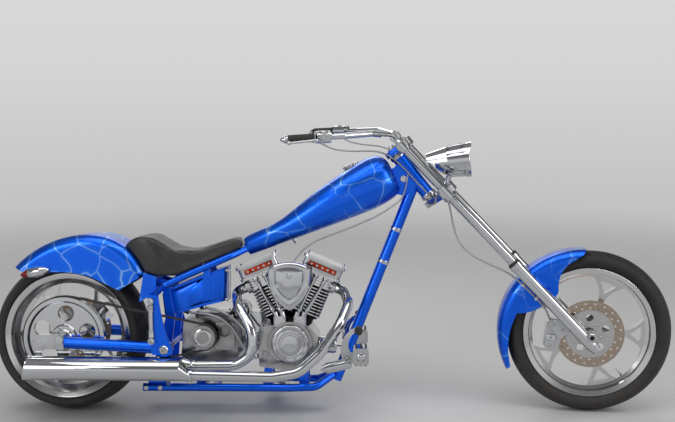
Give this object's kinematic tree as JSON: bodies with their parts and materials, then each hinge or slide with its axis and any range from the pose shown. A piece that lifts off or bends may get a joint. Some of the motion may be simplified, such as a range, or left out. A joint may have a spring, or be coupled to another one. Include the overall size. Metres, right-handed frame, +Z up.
{
  "type": "chopper motorcycle",
  "caption": "Long raked V-twin chopper leaning on its side stand, bars slightly turned, with turning wheels, steering and folding stand.",
  "frame": {"origin": "centre of the bounding box at floor level, the machine parked on its side stand", "axes": "+X forward, +Y to the rider's left, +Z up"},
  "size_m": [2.9396, 0.9093, 1.2318],
  "materials": {
    "tyre": "matte",
    "polished": "polished",
    "chrome": "mirror",
    "paint": "gloss",
    "alloy": "satin",
    "black": "satin",
    "belt": "matte",
    "leather": "satin",
    "braid": "satin"
  },
  "bodies": {
    "frame": {"backbone": "paint", "down_tube": "paint", "steering_neck": "paint", "cradle_rails": "paint", "seat_rails": "paint", "rear_uprights": "paint", "arm_plates": "paint", "rear_struts": "chrome", "swing_arm": "paint", "rear_axle": "chrome", "rear_caliper": "chrome", "rear_fender": "paint", "rear_lamps": "chrome", "seat": "leather", "fuel_tank": "paint", "oil_tank": "paint", "crankcase": "alloy", "cam_cover": "chrome", "cylinders": "alloy", "rocker_boxes": "chrome", "pushrod_tubes": "chrome", "carburettor": "black", "air_cleaner": "chrome", "gearbox": "alloy", "primary_case": "chrome", "drive_belt": "belt", "exhaust_pipes": "chrome", "mufflers": "chrome", "foot_controls": "chrome", "oil_hoses": "braid", "frame_cables": "braid"},
    "steering": {"upper_yoke": "chrome", "lower_yoke": "chrome", "fork_tubes": "chrome", "fork_sliders": "chrome", "front_axle": "chrome", "handlebar": "chrome", "grips": "belt", "hand_controls": "chrome", "headlight": "chrome", "front_fender": "paint", "front_caliper": "chrome", "brake_hose": "braid", "bar_cables": "braid"},
    "front_wheel": {"front_tyre": "tyre", "front_rim": "polished", "front_disc": "polished"},
    "rear_wheel": {"rear_tyre": "tyre", "rear_rim": "polished", "rear_pulley": "polished", "rear_disc": "polished"},
    "side_stand": {"side_stand": "chrome"}
  },
  "joints": [
    {"name": "steering", "type": "hinge", "parent": "frame", "child": "steering", "pos_m": [0.2775, -0.02362, 1.11651], "axis": [-0.6263, 0.0747, 0.776], "range_deg": [-21, 35]},
    {"name": "front_wheel_spin", "type": "hinge", "parent": "steering", "child": "front_wheel", "pos_m": [1.11914, -0.11868, 0.35191], "axis": [0.095, 0.9953, -0.0192], "continuous": true},
    {"name": "rear_wheel_spin", "type": "hinge", "parent": "frame", "child": "rear_wheel", "pos_m": [-1.13985, -0.09937, 0.32978], "axis": [0, 0.9954, -0.0958], "continuous": true},
    {"name": "side_stand_fold", "type": "hinge", "parent": "frame", "child": "side_stand", "pos_m": [-0.29995, 0.05611, 0.08739], "axis": [0.1115, 0.4176, 0.9018], "range_deg": [0, 100]}
  ]
}
